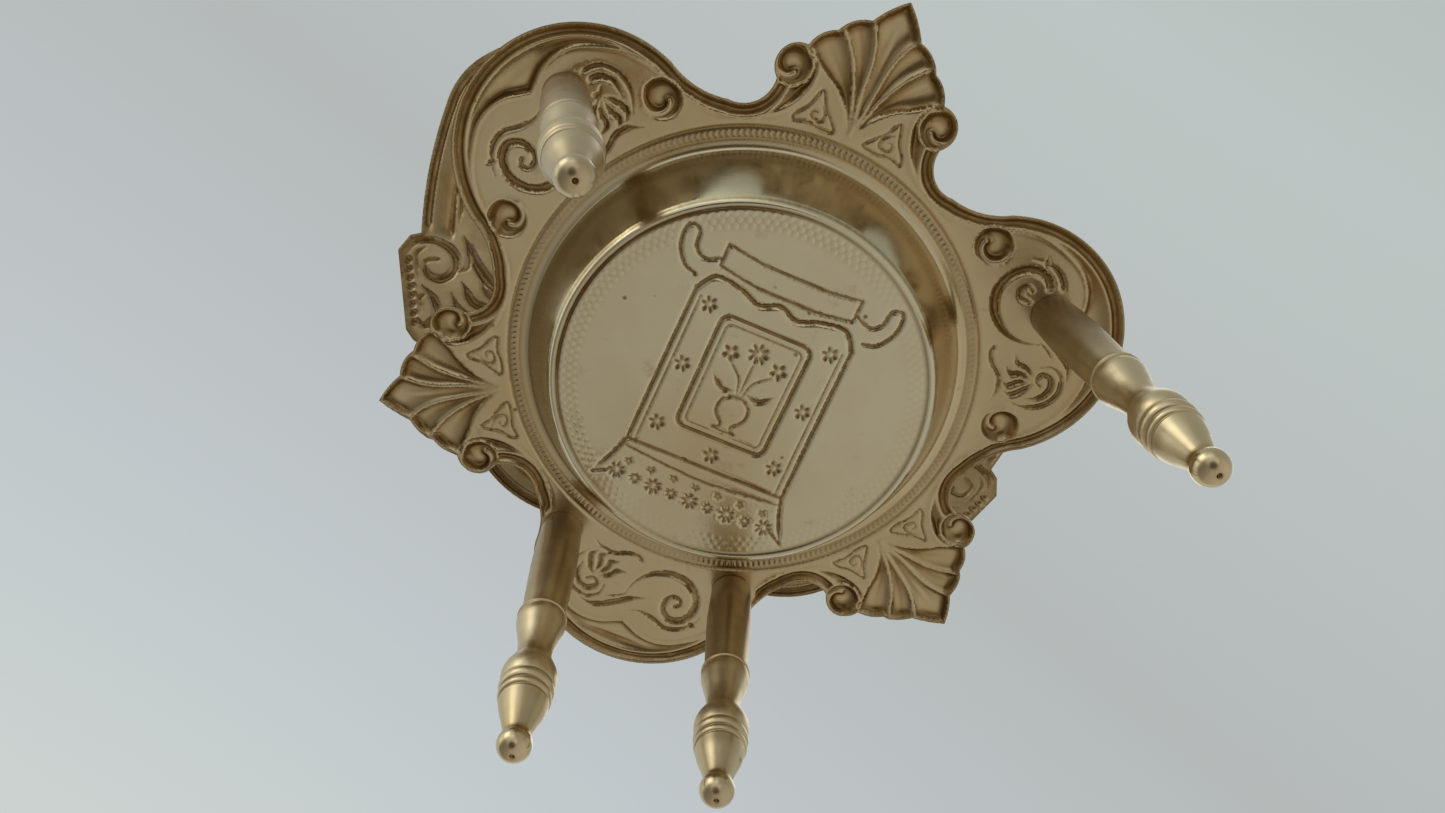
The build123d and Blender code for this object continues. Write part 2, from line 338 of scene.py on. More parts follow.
def table_rows(table, step):
    """rows() for each (points, half width, depth, start, end) of a table."""
    return [rows(smooth(points), half, start, end, step) for points, half, _, start, end in table]


def run_length(line):
    """How far along the line each of its points is."""
    return np.concatenate([[0], np.cumsum(np.linalg.norm(np.diff(line, axis=0), axis=1))])


def rows(line, half, start=1.0, end=1.0, step=0.2):
    """Points on a pressed line's middle, on both its edges and at the foot of both its sides."""
    run = run_length(line)
    at = np.linspace(0, run[-1], max(2, int(run[-1] / step)))
    on = np.stack([np.interp(at, run, line[:, 0]), np.interp(at, run, line[:, 1])], -1)
    along_line = np.gradient(on, axis=0)
    across = np.stack([-along_line[:, 1], along_line[:, 0]], -1) / np.linalg.norm(along_line, axis=1)[:, None]
    wide = taper(at / run[-1], half, start, end)[:, None]
    foot = np.maximum(wide - CREASE, 0.0)
    runs = [on]
    if half > 0:
        runs += [on + across * wide, on - across * wide]
        clear = foot[:, 0] > 0.08
        runs += [(on + across * foot)[clear], (on - across * foot)[clear]]
    return np.vstack(runs)


# ---------- thin stamped sheet as a mesh
SHEET = 0.6
FINE_TARNISH, BROAD_TARNISH = 2.6, 0.06    # how dark the material gets per mm of narrow and of wide hollow
FINE_PASSES, BROAD_PASSES = 4, 12


def scatter(low, high, step):
    """Staggered rows of points that fill a rectangle."""
    up = np.arange(low[1], high[1], step * math.sqrt(3) / 2)
    across = np.arange(low[0], high[0], step)
    x, y = np.meshgrid(across, up)
    x = x + (np.arange(len(up)) % 2)[:, None] * step / 2
    return np.stack([x.ravel(), y.ravel()], -1)


def circle(radius, count, centre=(0, 0)):
    turn = 2 * np.pi * np.arange(count) / count
    return np.stack([radius * np.cos(turn) + centre[0], radius * np.sin(turn) + centre[1]], -1)


def triangles(spots, outline, holes):
    """Delaunay triangles of the spots that lie inside the outline and outside the holes."""
    spots, _, faces, *_ = delaunay_2d_cdt([Vector(p) for p in spots], [], [], 0, 1e-5, False)
    spots, faces = np.array(spots), np.array(faces)
    middle = spots[faces].mean(1)
    keep = within(middle, outline)
    for centre, radius in holes:
        keep &= away(middle, centre) > radius
    corners = spots[faces]
    side = np.cross(corners[:, 1] - corners[:, 0], corners[:, 2] - corners[:, 0])
    keep &= np.abs(side) > 1e-7
    faces, side = faces[keep], side[keep]
    faces[side < 0] = faces[side < 0][:, ::-1]
    used = np.unique(faces)
    renumber = np.full(len(spots), -1)
    renumber[used] = np.arange(len(used))
    return spots[used], renumber[faces]


def gather(values, faces, count):
    """Mean over each vertex's neighbours."""
    total, number = np.zeros(count), np.zeros(count)
    for a, b in ((0, 1), (1, 2), (2, 0)):
        total += np.bincount(faces[:, a], values[faces[:, b]], count)
        number += np.bincount(faces[:, a], None, count)
    return total / np.maximum(number, 1)


def finished(mesh, marks):
    """A smooth-shaded piece of a mesh. marks are the numbers that its vertices carry for the material."""
    mesh.polygons.foreach_set("use_smooth", np.ones(len(mesh.polygons), bool))
    for title, values in marks:
        mesh.attributes.new(title, "FLOAT", "POINT").data.foreach_set("value", values.astype(np.float32))
    piece = bpy.data.objects.new(mesh.name, mesh)
    bpy.context.collection.objects.link(piece)
    return piece


def sheet_piece(name, spots, faces, base, relief, place, marks, skin=None):
    """A sheet of even thickness over a height field. place turns mm in the sheet's own frame to the object's.
    base is the broad shape, which sets the way the two faces part, and relief is what is pressed into it and
    gathers tarnish. skin, if given, lowers the upper face where something lies flat on it."""
    count = len(spots)
    relief = (relief + gather(relief, faces, count)) / 2
    broad = np.column_stack([spots, base])
    middle = np.column_stack([spots, base + relief])
    normal = np.zeros_like(middle)
    cross = np.cross(broad[faces[:, 1]] - broad[faces[:, 0]], broad[faces[:, 2]] - broad[faces[:, 0]])
    for corner in range(3):
        for axis in range(3):
            normal[:, axis] += np.bincount(faces[:, corner], cross[:, axis], count)
    normal /= np.linalg.norm(normal, axis=1)[:, None]
    upper = middle + normal * SHEET / 2
    lower = middle - normal * SHEET / 2
    if skin is not None:
        upper[:, 2] = np.minimum(upper[:, 2], skin)
    # a hollow as each face shows it: how far the surface lies below its smoothed self
    smoothed = relief
    for _ in range(FINE_PASSES):
        smoothed = gather(smoothed, faces, count)
    wider = smoothed
    for _ in range(BROAD_PASSES):
        wider = gather(wider, faces, count)
    rise = (relief - smoothed) * FINE_TARNISH + (smoothed - wider) * BROAD_TARNISH
    hollow = np.concatenate([-rise, rise])
    # edges used by one face only close the rim
    pairs = np.concatenate([faces[:, [0, 1]], faces[:, [1, 2]], faces[:, [2, 0]]])
    key = np.sort(pairs, axis=1) @ np.array([count, 1])
    _, first, times = np.unique(key, return_index=True, return_counts=True)
    rim = pairs[first[times == 1]]
    rim_faces = np.column_stack([rim[:, 1], rim[:, 0], rim[:, 0] + count, rim[:, 1] + count])
    verts = np.vstack([upper, lower])
    world = (place[:3, :3] @ verts.T).T + place[:3, 3]
    tris = np.vstack([faces, faces[:, ::-1] + count])
    mesh = bpy.data.meshes.new(name)
    mesh.vertices.add(len(world))
    mesh.vertices.foreach_set("co", (world * MM).ravel())
    loops = np.concatenate([tris.ravel(), rim_faces.ravel()]).astype(np.int32)
    mesh.loops.add(len(loops))
    mesh.loops.foreach_set("vertex_index", loops)
    starts = np.concatenate([np.arange(len(tris)) * 3, len(tris) * 3 + np.arange(len(rim_faces)) * 4])
    mesh.polygons.add(len(starts))
    mesh.polygons.foreach_set("loop_start", starts.astype(np.int32))
    mesh.update(calc_edges=True)
    mesh.validate()
    return finished(mesh, [("hollow", hollow)] + [(title, np.tile(values, 2)) for title, values in marks])


# ---------- seat plate
RING_R = 32.0
SEAT_MIDDLE = 48.3
LEGS = {                 # (top, lean of the foot, painted shade: how much browner each leg is made)
    "front_left": ((-34.6, -23.7), (7.6, -2.2), 0.30),
    "front_right": ((34.9, -22.9), (4.4, -1.4), 0.05),
    "rear_left": ((-13.6, 33.8), (2.4, 1.0), 0.10),
    "rear_right": ((12.9, 33.4), (-1.6, -2.2), 0.22),
}
LEG_SPOTS = [top for top, _, _ in LEGS.values()]
SCREW_HOLE_R = 1.45
PAD_R = 3.3          # the sheet stays flat this far round each leg's screw
SEAT_HALF_THIRD = [
    (1.585, 0), (1.536, 2.0), (1.472, 4.0), (1.452, 6.4), (1.402, 8.5), (1.38, 10.6), (1.326, 12.6),
    (1.283, 17.3), (1.187, 17.2), (1.098, 20.4), (1.1, 26.5), (1.142, 31.2), (1.265, 36.0),
    (1.48, 45.0), (1.595, 60),
]


def seat_outline(step):
    """The stamped edge: arcs through (share of RING_R, degrees from the palmette), mirrored and turned."""
    def at(share, degrees):
        turn = math.radians(-90 + degrees)
        return (share * RING_R * math.cos(turn), share * RING_R * math.sin(turn))

    points = [at(*p) for p in SEAT_HALF_THIRD]
    half = np.vstack([arcs(points, step), points[-1]])
    third = np.vstack([mirror(half)[:0:-1], half[:-1]])
    return three_fold(third[:, 0] + 1j * third[:, 1])


def fold(spots, axis):
    """Coordinates (across, outwards) about the nearest of three arms, the first of them along axis."""
    z = spots[:, 0] + 1j * spots[:, 1]
    arm = np.round(np.angle(z / axis) / (2 * np.pi / 3))
    z = z * np.exp(-2j * np.pi / 3 * arm)
    return np.stack([z.real, z.imag * np.sign(axis.imag)], -1)


# dish, as the middle of the sheet: floor, rounded foot, wall, rounded mouth
FLOOR_Z, FLOOR_R, MOUTH_R = 38.4, 24.6, 28.9
FOOT_ROUND, MOUTH_ROUND = 0.7, 1.0
FLOOR_LIP_R, FLOOR_LIP = 24.2, 0.3
STIPPLE_RINGS = (21.5, 22.25, 23.0)    # rows of punched dots
STIPPLE_DOTS, STIPPLE_DEPTH = 128, 0.12


def dish_profile():
    wall = np.array([MOUTH_R - FLOOR_R, SEAT_MIDDLE - FLOOR_Z])
    wall = wall / np.linalg.norm(wall)
    foot, mouth = np.array([FLOOR_R, FLOOR_Z]), np.array([MOUTH_R, SEAT_MIDDLE])
    t = np.linspace(0, 1, 9)[:, None]

    def bend(before, corner, after):
        return (1 - t) ** 2 * before + 2 * t * (1 - t) * corner + t**2 * after

    flat = np.array([1, 0])
    return np.vstack([
        [[0, FLOOR_Z]],
        bend(foot - flat * FOOT_ROUND, foot, foot + wall * FOOT_ROUND),
        bend(mouth - wall * MOUTH_ROUND, mouth, mouth + flat * MOUTH_ROUND),
        [[80, SEAT_MIDDLE]],
    ])


BEAD_R, BEADS = 31.05, 252
BEADS_FROM, BEADS_TO = 30.2, 32.01     # circles of vertices follow the bead ring between these


def bead_ring(spots, r):
    turn = np.arctan2(spots[:, 1], spots[:, 0])
    clear = 0.45 + 0.55 * ease(np.cos(3 * (turn + np.pi / 2)), -0.9, 0.1)
    row = np.clip(1 - np.abs(r - BEAD_R) / 0.42, 0, 1)
    bead = np.sqrt(row) * (0.5 + 0.5 * np.cos(BEADS * turn)) * 0.2 * clear
    groove = 0.22 * ridge(r - 31.85, 0.2) + 0.12 * ridge(r - 30.35, 0.18)
    return groove - bead + 0.1 * ridge(r - BEAD_R, 0.5)


PALMETTE_RIBS = [
    [(0.15, 33.6), (0.75, 38.5), (1.15, 42.5), (2.0, 45.3), (3.2, 47.4)],
    [(0.3, 33.8), (1.7, 38.2), (3.6, 42.0), (6.3, 45.2)],
    [(0.2, 33.4), (1.9, 36.2), (4.0, 38.2), (6.4, 39.5), (9.2, 41.6)],
]


def palmette(p, edge):
    """Five flutes fanned from a point, the middle one pointed. p is (across, outwards)."""
    a = np.abs(p[:, 0])
    half = right_half(p)
    ribs = [smooth(points) for points in PALMETTE_RIBS]
    rib = np.minimum.reduce([reach(half, line, 3) for line in ribs])
    bounds = np.vstack([ribs[2], [(9.2, 60), (-2, 60), (-2, 33.2)]])
    leaf = within(half, bounds)
    flute = 1.35 * scallop(rib, 2.3) * swell(edge + 0.15, 1.3) * ease(p[:, 1], 33.0, 38.5)
    middle_rib = 0.16 * ridge(a, 0.3) * ease(p[:, 1], 47.8, 44)
    return leaf, flute - middle_rib * leaf


def bulb(p, centre, radius, depth, hand):
    """A scroll's round eye: a bowl with a thin raised rim and a curl running into it."""
    from_eye = p - np.array(centre)
    d = np.linalg.norm(from_eye, axis=1)
    bowl = depth * swell(radius - d, radius * 0.62)
    rim = 0.2 * ridge(d - radius, 0.24)
    turn = np.linspace(-0.9, 2.2, 60)
    wide = radius * (0.80 - 0.20 * turn)
    curl = np.stack([centre[0] + hand * wide * np.cos(turn), centre[1] - wide * np.sin(turn)], -1)
    spiral = 0.75 * ridge(reach(p, curl, 1.6), 0.42) * ease(radius - d, 0, 0.5)
    return d < radius, bowl - spiral - rim


TRIANGLE = [(5.3, 37.2), (4.2, 35.5), (2.1, 33.2), (3.6, 32.75), (5.6, 32.95), (7.4, 32.6), (7.2, 33.6),
            (6.2, 35.0)]
TRIANGLE_CURL = [(5.35, 35.9), (4.5, 35.3), (3.9, 34.5), (4.0, 33.7), (4.8, 33.5), (5.5, 33.9), (5.4, 34.6),
                 (4.8, 34.6)]

# the band's inner edge: down beside each palmette, along the neck, round the lobe's eye, then the ogee line
NECK_LINE = [(7.3, 40.6), (6.9, 38.6), (7.0, 37.0), (7.7, 35.0), (8.9, 33.2), (10.7, 31.6), (13.4, 30.2),
             (16.6, 29.5), (20.1, 29.9)]
OGEE_LINE = [(15.2, 34.6), (14.7, 36.8), (13.9, 39.2), (12.4, 41.8), (10.4, 43.9), (8.0, 45.6), (5.4, 46.3),
             (3.0, 46.0), (1.3, 45.2), (0.0, 44.6)]

# scrollwork in each lobe: (points, half width, depth, start, end)
LOBE_SCROLLS = [
    ([(-1.4, 39.9), (-0.7, 37.5), (1.0, 35.4), (3.7, 34.25), (6.6, 34.6), (8.5, 36.5), (9.0, 38.8), (8.1,
      40.8), (6.4, 41.5), (4.9, 40.6), (4.55, 39.0), (5.3, 37.7), (6.4, 37.7), (6.8, 38.6), (6.2, 39.1)],
      0.62, 0.55, 0.2, 0.55),
    ([(0.2, 38.3), (1.5, 36.6), (3.2, 35.7)], 0.22, -0.25, 0.4, 0.3),
    ([(-0.3, 42.7), (1.6, 42.0), (3.8, 42.3), (6.0, 43.1), (8.1, 42.6), (9.7, 41.0), (10.4, 39.4)], 0.4,
      0.42, 0.2, 0.3),
    ([(8.9, 40.9), (10.4, 41.3)], 0.35, 0.4, 0.5, 0.2),
    ([(-8.0, 43.2), (-5.2, 43.6), (-2.6, 42.2), (-0.3, 40.5), (2.4, 39.3)], 0.5, 0.5, 0.2, 0.15),
    ([(-4.0, 41.6), (-2.2, 40.8), (-0.9, 39.7)], 0.28, 0.35, 0.3, 0.3),
    ([(-8.9, 35.2), (-10.2, 37.4), (-10.3, 40.0), (-9.0, 42.1), (-6.6, 42.7), (-5.0, 41.6), (-4.7, 39.9)],
      0.4, 0.45, 0.3, 0.4),
    ([(-9.0, 37.6), (-9.2, 39.6), (-8.2, 41.1), (-6.7, 41.3), (-5.9, 40.2), (-6.7, 39.4), (-7.5, 39.9)],
      0.5, 0.5, 0.3, 0.5),
    ([(-7.0, 38.8), (-7.9, 37.4), (-8.3, 35.9), (-7.6, 34.9)], 0.5, 0.5, 0.4, 0.3),
    ([(-6.8, 38.5), (-6.6, 37.0), (-6.9, 35.6), (-6.1, 34.7)], 0.48, 0.5, 0.3, 0.4),
    ([(-6.4, 38.6), (-5.4, 37.3), (-5.2, 36.0), (-4.2, 35.5)], 0.48, 0.5, 0.3, 0.4),
    ([(-6.1, 38.9), (-4.7, 38.1), (-3.8, 37.0), (-2.6, 36.7)], 0.45, 0.5, 0.3, 0.35),
    ([(-8.8, 33.0), (-7.4, 34.0), (-5.4, 34.3), (-3.4, 33.5), (-1.8, 33.4), (-1.1, 33.9)], 0.38, 0.4, 0.2,
      0.8),
]


# the dish's pressed emblem
BLUNT = (0.9, 0.9)                     # a line's ends, where nothing else is given
PANEL_FLOWERS = [(-8.3, -9.0), (8.3, -9.0), (-8.3, 8.4), (8.3, 8.4), (0, 10.0), (-8.4, -0.4), (8.4, -0.4)]


def rounded(half_x, low, high, corner):
    """A closed rectangle with rounded corners."""
    t = np.linspace(0, np.pi / 2, 8)
    quarter = corner * np.stack([np.cos(t), np.sin(t)], -1)
    runs = []
    for sx, sy in ((1, 1), (-1, 1), (-1, -1), (1, -1)):
        part = quarter * np.array([sx, sy]) if sx * sy > 0 else (quarter * np.array([sx, sy]))[::-1]
        runs.append(part + np.array([sx * (half_x - corner), (high - corner) if sy > 0 else (low + corner)]))
    ring = np.vstack(runs + [runs[0][:1]])
    return along(ring)


def along(corners, step=0.1):
    """Straight runs between corners, sampled every step mm."""
    runs = [np.linspace(p, q, max(2, int(np.linalg.norm(np.subtract(q, p)) / step)), endpoint=False)
            for p, q in zip(corners, corners[1:])]
    return np.vstack(runs + [np.array([corners[-1]])])


def flower(spots, centre, radius, petals, depth):
    off = spots - np.array(centre)
    d = np.linalg.norm(off, axis=1)
    near = d < radius * 1.3
    turn = np.arctan2(off[:, 1], off[:, 0])
    edge = radius * (0.78 + 0.22 * np.cos(petals * turn))
    petal = swell(edge - d, radius * 0.35) - 0.9 * ridge(d, 0.28 * radius)
    return np.where(near, depth * petal, 0)


def emblem_lines():
    """(line, half width, depth, start, end) of every pressed line of the emblem."""
    lines = [(smooth([(-10.6, -10.4), (-8.8, -12.6), (-5.5, -12.3), (-2.6, -11.3), (0, -12.2), (2.6, -11.3),
                      (5.5, -12.3), (8.8, -12.6), (10.6, -10.4)]), 0.45, 0.45)]
    side = [
        (along([(10.6, -10.4), (11.0, 12.0)]), 0.38, 0.38),
        (along([(9.7, -9.6), (10.0, 11.6)]), 0.24, 0.3),
        (smooth([(11.0, 12.0), (12.0, 15.0), (13.6, 18.4)]), 0.36, 0.4, 0.9, 0.3),
        (smooth([(13.6, 18.4), (12.2, 17.6), (10.9, 17.0)]), 0.3, 0.35, 0.9, 0.4),
        # the ribbon's folded end
        (along([(9.0, -14.1), (9.0, -17.0)]), 0.3, 0.34),
        (smooth([(9.2, -14.9), (11.2, -14.2), (12.6, -15.2), (13.0, -17.2), (14.4, -17.4), (14.6, -15.0),
                 (13.2, -12.6), (11.4, -11.9)]), 0.34, 0.4),
        # vase, stem and leaf
        (smooth([(1.6, 6.2), (0.7, 5.4), (1.9, 3.9), (1.9, 2.2), (0.9, 1.3)]), 0.28, 0.34),
        (smooth([(0.3, 1.0), (1.0, -1.4), (2.9, -3.2)]), 0.22, 0.3),
        (smooth([(0.6, 0.4), (2.6, 0.6), (4.3, -0.9)]), 0.45, 0.36, 0.2, 0.2),
    ]
    lines += [(mirror(line), *shape) for line, *shape in side] + side
    lines += [
        (along([(-11.0, 12.0), (11.0, 12.0)]), 0.38, 0.38),
        (smooth([(-10.9, 13.1), (0, 13.9), (10.9, 13.1)]), 0.3, 0.3),
        (rounded(6.1, -8.6, 7.6, 1.2), 0.38, 0.38, 1, 1),
        (rounded(5.2, -7.7, 6.7, 0.8), 0.22, 0.28, 1, 1),
        (smooth([(-9.0, -14.1), (-4.5, -13.4), (0, -13.3), (4.5, -13.4), (9.0, -14.1)]), 0.32, 0.36),
        (smooth([(-9.0, -17.0), (-4.5, -16.4), (0, -16.3), (4.5, -16.4), (9.0, -17.0)]), 0.32, 0.36),
        (along([(-1.6, 6.2), (1.6, 6.2)]), 0.28, 0.34),
        (along([(-1.2, 1.2), (1.2, 1.2)]), 0.28, 0.34),
        (along([(0, 1.0), (0, -3.6)]), 0.22, 0.3),
    ]
    return [(*line, *BLUNT)[:5] for line in lines]


def emblem(spots):
    """A blank ribbon over a framed panel with a vase of three flowers, on a scalloped foot."""
    h = np.zeros(len(spots))
    for line, half, depth, start, end in emblem_lines():
        h = np.maximum(h, stroke(spots, line, half, depth, start, end))
    flowers = [(centre, 1.25, 6, 0.32) for centre in PANEL_FLOWERS]
    flowers += [((k * 2.65, 17.3 - 0.02 * k**2), 0.95 if k % 2 else 1.35, 8, 0.36) for k in range(-4, 5)]
    flowers += [((k * 3.2, 15.1), 0.7, 5, 0.27) for k in range(-3, 4)]
    flowers += [((-3.3, -4.2), 1.3, 5, 0.36), ((3.3, -4.2), 1.3, 5, 0.36), ((0, -5.4), 1.6, 8, 0.38)]
    for centre, radius, petals, depth in flowers:
        h = np.maximum(h, flower(spots, centre, radius, petals, depth))
    return h


def lobe_to_palmette(line):
    """The same half-third line, given about the lobe's axis, now about the palmette's."""
    z = (line[:, 1] + 1j * line[:, 0]) * np.exp(-1j * np.pi / 3)
    return np.stack([-z.imag, z.real], -1)


SHADE_SIDE = (-0.95, -0.33)            # painted shade: the dish is made darker towards this side, and a groove runs inside the floor's lip there
GILT_SPOT, GILT_R = (-1.5, 10.0), 11.0    # the dish's floor keeps its gold colour round here


def toward(spots, r, side):
    """0 to 1: how far round towards one side of the dish each spot lies."""
    return np.clip(spots @ np.array(side) / np.maximum(r, 1), 0, 1)


def floor_border(spots, r):
    """Rows of punched dots and a raised lip round the dish's floor."""
    turn = np.arctan2(spots[:, 1], spots[:, 0])
    h = -FLOOR_LIP * ridge(r - FLOOR_LIP_R, 0.36)
    h += 0.3 * toward(spots, r, SHADE_SIDE) * ridge(r - FLOOR_LIP_R + 0.5, 0.17)
    fresh = 0.3 + 0.7 * ease(np.cos(turn + 2.6) + 0.4 * np.sin(3 * turn), -0.2, 0.9)
    for k, radius in enumerate(STIPPLE_RINGS):
        dots = ease(np.cos(STIPPLE_DOTS * turn + k * np.pi), 0, 1)
        h -= STIPPLE_DEPTH * fresh * dots * ridge(r - radius, 0.24)
    return h


CREST = 1.7          # the band's crest runs this far in from the stamped edge
LEAF_AREA = (8.7, 34.2, 47.2)          # where the hinge's leaf lies on the seat: half width, from, to
UNDER_LEAF = 0.42    # relief under the leaf is no deeper than this
RIM_FROM = 29.8      # the rim's relief starts here


def seat_height(spots, edge):
    """The dish and flat, the relief pressed into them, and the most the upper face may reach."""
    r = np.linalg.norm(spots, axis=1)
    profile = dish_profile()
    h = np.interp(r, profile[:, 0], profile[:, 1])
    relief = np.zeros(len(spots))
    out, low = r > RIM_FROM, r < FLOOR_R
    relief[out] = rim_relief(spots[out], r[out], edge[out])
    relief[low] = emblem(spots[low]) + floor_border(spots[low], r[low])
    for spot in LEG_SPOTS:
        relief *= ease(away(spots, spot), PAD_R, PAD_R + 0.8)
    x, y = np.abs(spots[:, 0]), spots[:, 1]
    half_x, front, rear = LEAF_AREA
    under = (1 - ease(x, half_x, half_x + 1.2)) * ease(y, front - 1.2, front)
    under = under * (1 - ease(y, rear, rear + 1.2))
    shallow = under * UNDER_LEAF * np.tanh(relief / UNDER_LEAF)
    relief = np.where(relief > 0, relief * (1 - under) + shallow, relief)
    skin = np.where(under > 0.02, SEAT_MIDDLE + SHEET / 2 - 0.02 + (1 - under) * 2.0, 99.0)
    return h, relief, skin


def rim_relief(spots, r, edge):
    p, q = fold(spots, -1j), fold(spots, 1j)
    p_half, q_half = right_half(p), right_half(q)

    # one ring round the plain field: beside the palmette, along the neck and the ogee line
    neck, ogee = smooth(NECK_LINE), lobe_to_palmette(smooth(OGEE_LINE))
    inner = np.minimum(reach(p_half, neck, 6), reach(p_half, ogee, 6))
    rib = smooth(PALMETTE_RIBS[2])
    rib = rib[rib[:, 0] < 7.0]
    past_axes = [ogee[-1] + np.array([0.5, -0.9]), (0, -1), (-0.5, 0), (-0.5, 33.4)]
    field = within(p_half, np.vstack([rib, neck, ogee, past_axes]))

    leaf, flutes = palmette(p, edge)
    eye_p, bowl_p = bulb(p_half, (10.0, 38.4), 2.6, 1.2, 1)
    eye_q, bowl_q = bulb(q_half, (12.75, 34.3), 2.7, 1.3, -1)

    outer_channel = 0.55 * swell(np.minimum(edge - 0.3, CREST - edge), 0.7)
    inner_channel = 1.15 * swell(inner, 1.0) * swell(edge - CREST, 2.4)
    band = np.where(edge < CREST, outer_channel, inner_channel)
    band -= 0.12 * ridge(edge - CREST, 0.25)
    in_band = ~field & ~leaf & ~eye_p & ~eye_q

    scroll = np.zeros(len(spots))
    for points, half, depth, start, end in LOBE_SCROLLS:
        cut = stroke(q, smooth(points), half, abs(depth), start, end)
        scroll = scroll - cut if depth < 0 else np.maximum(scroll, cut)
    corner = smooth(TRIANGLE, closed=True)
    scroll = np.maximum(scroll, stroke(p_half, corner, 0.26, 0.32, 1, 1))
    scroll = np.maximum(scroll, stroke(p_half, smooth(TRIANGLE_CURL), 0.26, 0.34, 0.5, 0.6))

    relief = np.where(in_band, band, 0) + np.where(leaf, flutes, 0)
    relief = np.where(eye_p, bowl_p, relief)
    relief = np.where(eye_q, bowl_q, relief)
    relief += np.where(field & ~eye_q, scroll, 0)
    relief -= 0.14 * ridge(inner, 0.3) * ~leaf
    relief -= 0.3 * (1 - ease(edge, 0, 0.7))
    relief += bead_ring(spots, r)
    return relief


def edge_distance(spots, outline, far=12.0):
    """Distance in from the stamped edge, found through a search tree."""
    tree = KDTree(len(outline))
    for k, (x, y) in enumerate(outline):
        tree.insert((x, y, 0), k)
    tree.balance()
    return np.array([min(far, tree.find((x, y, 0))[2]) for x, y in spots])


def clear_of(spots, line, gap):
    """The spots further than gap from a sampled line."""
    return spots[edge_distance(spots, line, 1.0) > gap]


ROUND = 640          # vertices on each circle of the dish


def filling(low, high, step, outline, edge_line, detail):
    """Staggered rows of spots inside the outline, clear of its edge and of the pressed lines."""
    rest = clear_of(scatter(low, high, step), detail, 0.6 * step)
    return clear_of(rest[within(rest, outline)], edge_line, 0.9 * step)


def seat_spots(outline, edge_line, step):
    """Where the seat's mesh has vertices: on its edge, lines and circles, and in rows elsewhere."""
    profile = dish_profile()
    smooth_rings = [profile[1:-1, 0], np.arange(FLOOR_R + 1.0, MOUTH_R - 0.6, 0.35),
                    np.arange(FLOOR_LIP_R - 0.85, FLOOR_LIP_R - 0.35, 0.12)]
    rings = [(r, ROUND) for r in np.concatenate(smooth_rings)]
    rings += [(r, BEADS * 6) for r in np.arange(BEADS_FROM, BEADS_TO, 0.15)]
    circles = [circle(r, count) for r, count in rings]
    detail = line_spots(max(step, 0.2))
    detail = clear_of(detail, edge_line, 0.8 * step)
    rest = filling((-58, -58), (58, 58), step, outline, edge_line, detail)
    r = np.linalg.norm(rest, axis=1)
    rest = rest[(r < FLOOR_LIP_R - 1.0) | (r > 32.1)]
    for spot in LEG_SPOTS:
        rest = rest[away(rest, spot) > SCREW_HOLE_R + 0.5 * step]
        circles.append(circle(SCREW_HOLE_R, 40, spot))
    return np.vstack([edge_line] + circles + [detail, rest])


def line_spots(step):
    """Points along every pressed line of the seat, so the mesh's edges follow them."""
    spots = [rows(line, half, start, end, step) for line, half, _, start, end in emblem_lines()]
    lobe = table_rows(LOBE_SCROLLS, step)
    leaf = [rows(smooth(points), 0, step=step) for points in PALMETTE_RIBS]
    leaf += [rows(smooth(TRIANGLE, closed=True), 0.26, step=step),
             rows(smooth(TRIANGLE_CURL), 0.26, 0.5, 0.6, step), rows(smooth(NECK_LINE), 0, step=step),
             rows(lobe_to_palmette(smooth(OGEE_LINE)), 0, step=step)]
    leaf += [mirror(line) for line in leaf]
    arms = [line[:, 0] + 1j * line[:, 1] for line in lobe] + [line[:, 0] - 1j * line[:, 1] for line in leaf]
    round_arms = three_fold(np.concatenate(arms))
    off_ring = round_arms[np.linalg.norm(round_arms, axis=1) > 32.05]
    return np.vstack(spots + [off_ring])


def thin_line(line, step):
    """The same closed line with a point about every step mm."""
    run = run_length(line)
    keep = np.diff(np.floor(run / step), prepend=-1) > 0
    return line[keep]


def seat():
    step = 0.22
    outline = seat_outline(0.05)
    edge_line = thin_line(outline, step)
    holes = [(spot, SCREW_HOLE_R) for spot in LEG_SPOTS]
    spots, faces = triangles(seat_spots(outline, edge_line, step), edge_line, holes)
    edge = edge_distance(spots, outline)
    base, relief, skin = seat_height(spots, edge)
    r = np.linalg.norm(spots, axis=1)
    # silvery: the floor, where the plating wears thin, and the front side of the wall up to the mouth, which
    # is a painted reflection
    front_sheen = toward(spots, r, (-0.40, -0.92))
    wall = ease(r, FLOOR_R + 0.3, FLOOR_R + 1.2) * (1 - ease(r, MOUTH_R - 0.8, MOUTH_R + 0.4))
    gilt = ridge(away(spots, GILT_SPOT), GILT_R)
    wear_and_sheen = (1 - 0.75 * (1 - front_sheen) * ease(r, FLOOR_R - 0.4, FLOOR_R + 1.0)
            - (0.2 + 0.75 * front_sheen) * ease(r, MOUTH_R - 0.5, MOUTH_R + 1.5))
    wear_and_sheen = np.clip(wear_and_sheen - 0.95 * gilt, 0, 1)
    # brown: painted shade along the stamped edge where the sheet turns; a painted dark reflection in a ring
    # inside the floor's lip and painted shade on the wall, both strongest towards the shaded side; brown on
    # the bead ring; painted shade on the right side of the rim, away from the light
    shade_share = toward(spots, r, SHADE_SIDE)
    stain_and_shade = 0.42 * ridge(edge, 0.7)
    stain_and_shade += (0.3 + 1.2 * shade_share) * ridge(r - FLOOR_LIP_R + 0.45, 0.25)
    stain_and_shade += 0.35 * shade_share * wall
    stain_and_shade += 0.35 * ease(r, 30.2, 30.5) * (1 - ease(r, 31.6, 31.9))
    stain_and_shade += 0.22 * toward(spots, r, (0.92, -0.40)) * ease(r, 31.0, 36.0)
    piece = sheet_piece("seat_plate_embossed", spots, faces, base, relief, np.eye(4),
                        [("wear_and_sheen", wear_and_sheen), ("stain_and_shade", stain_and_shade)], skin)
    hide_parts("seat_plate")
    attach(piece, "stand")
    return piece


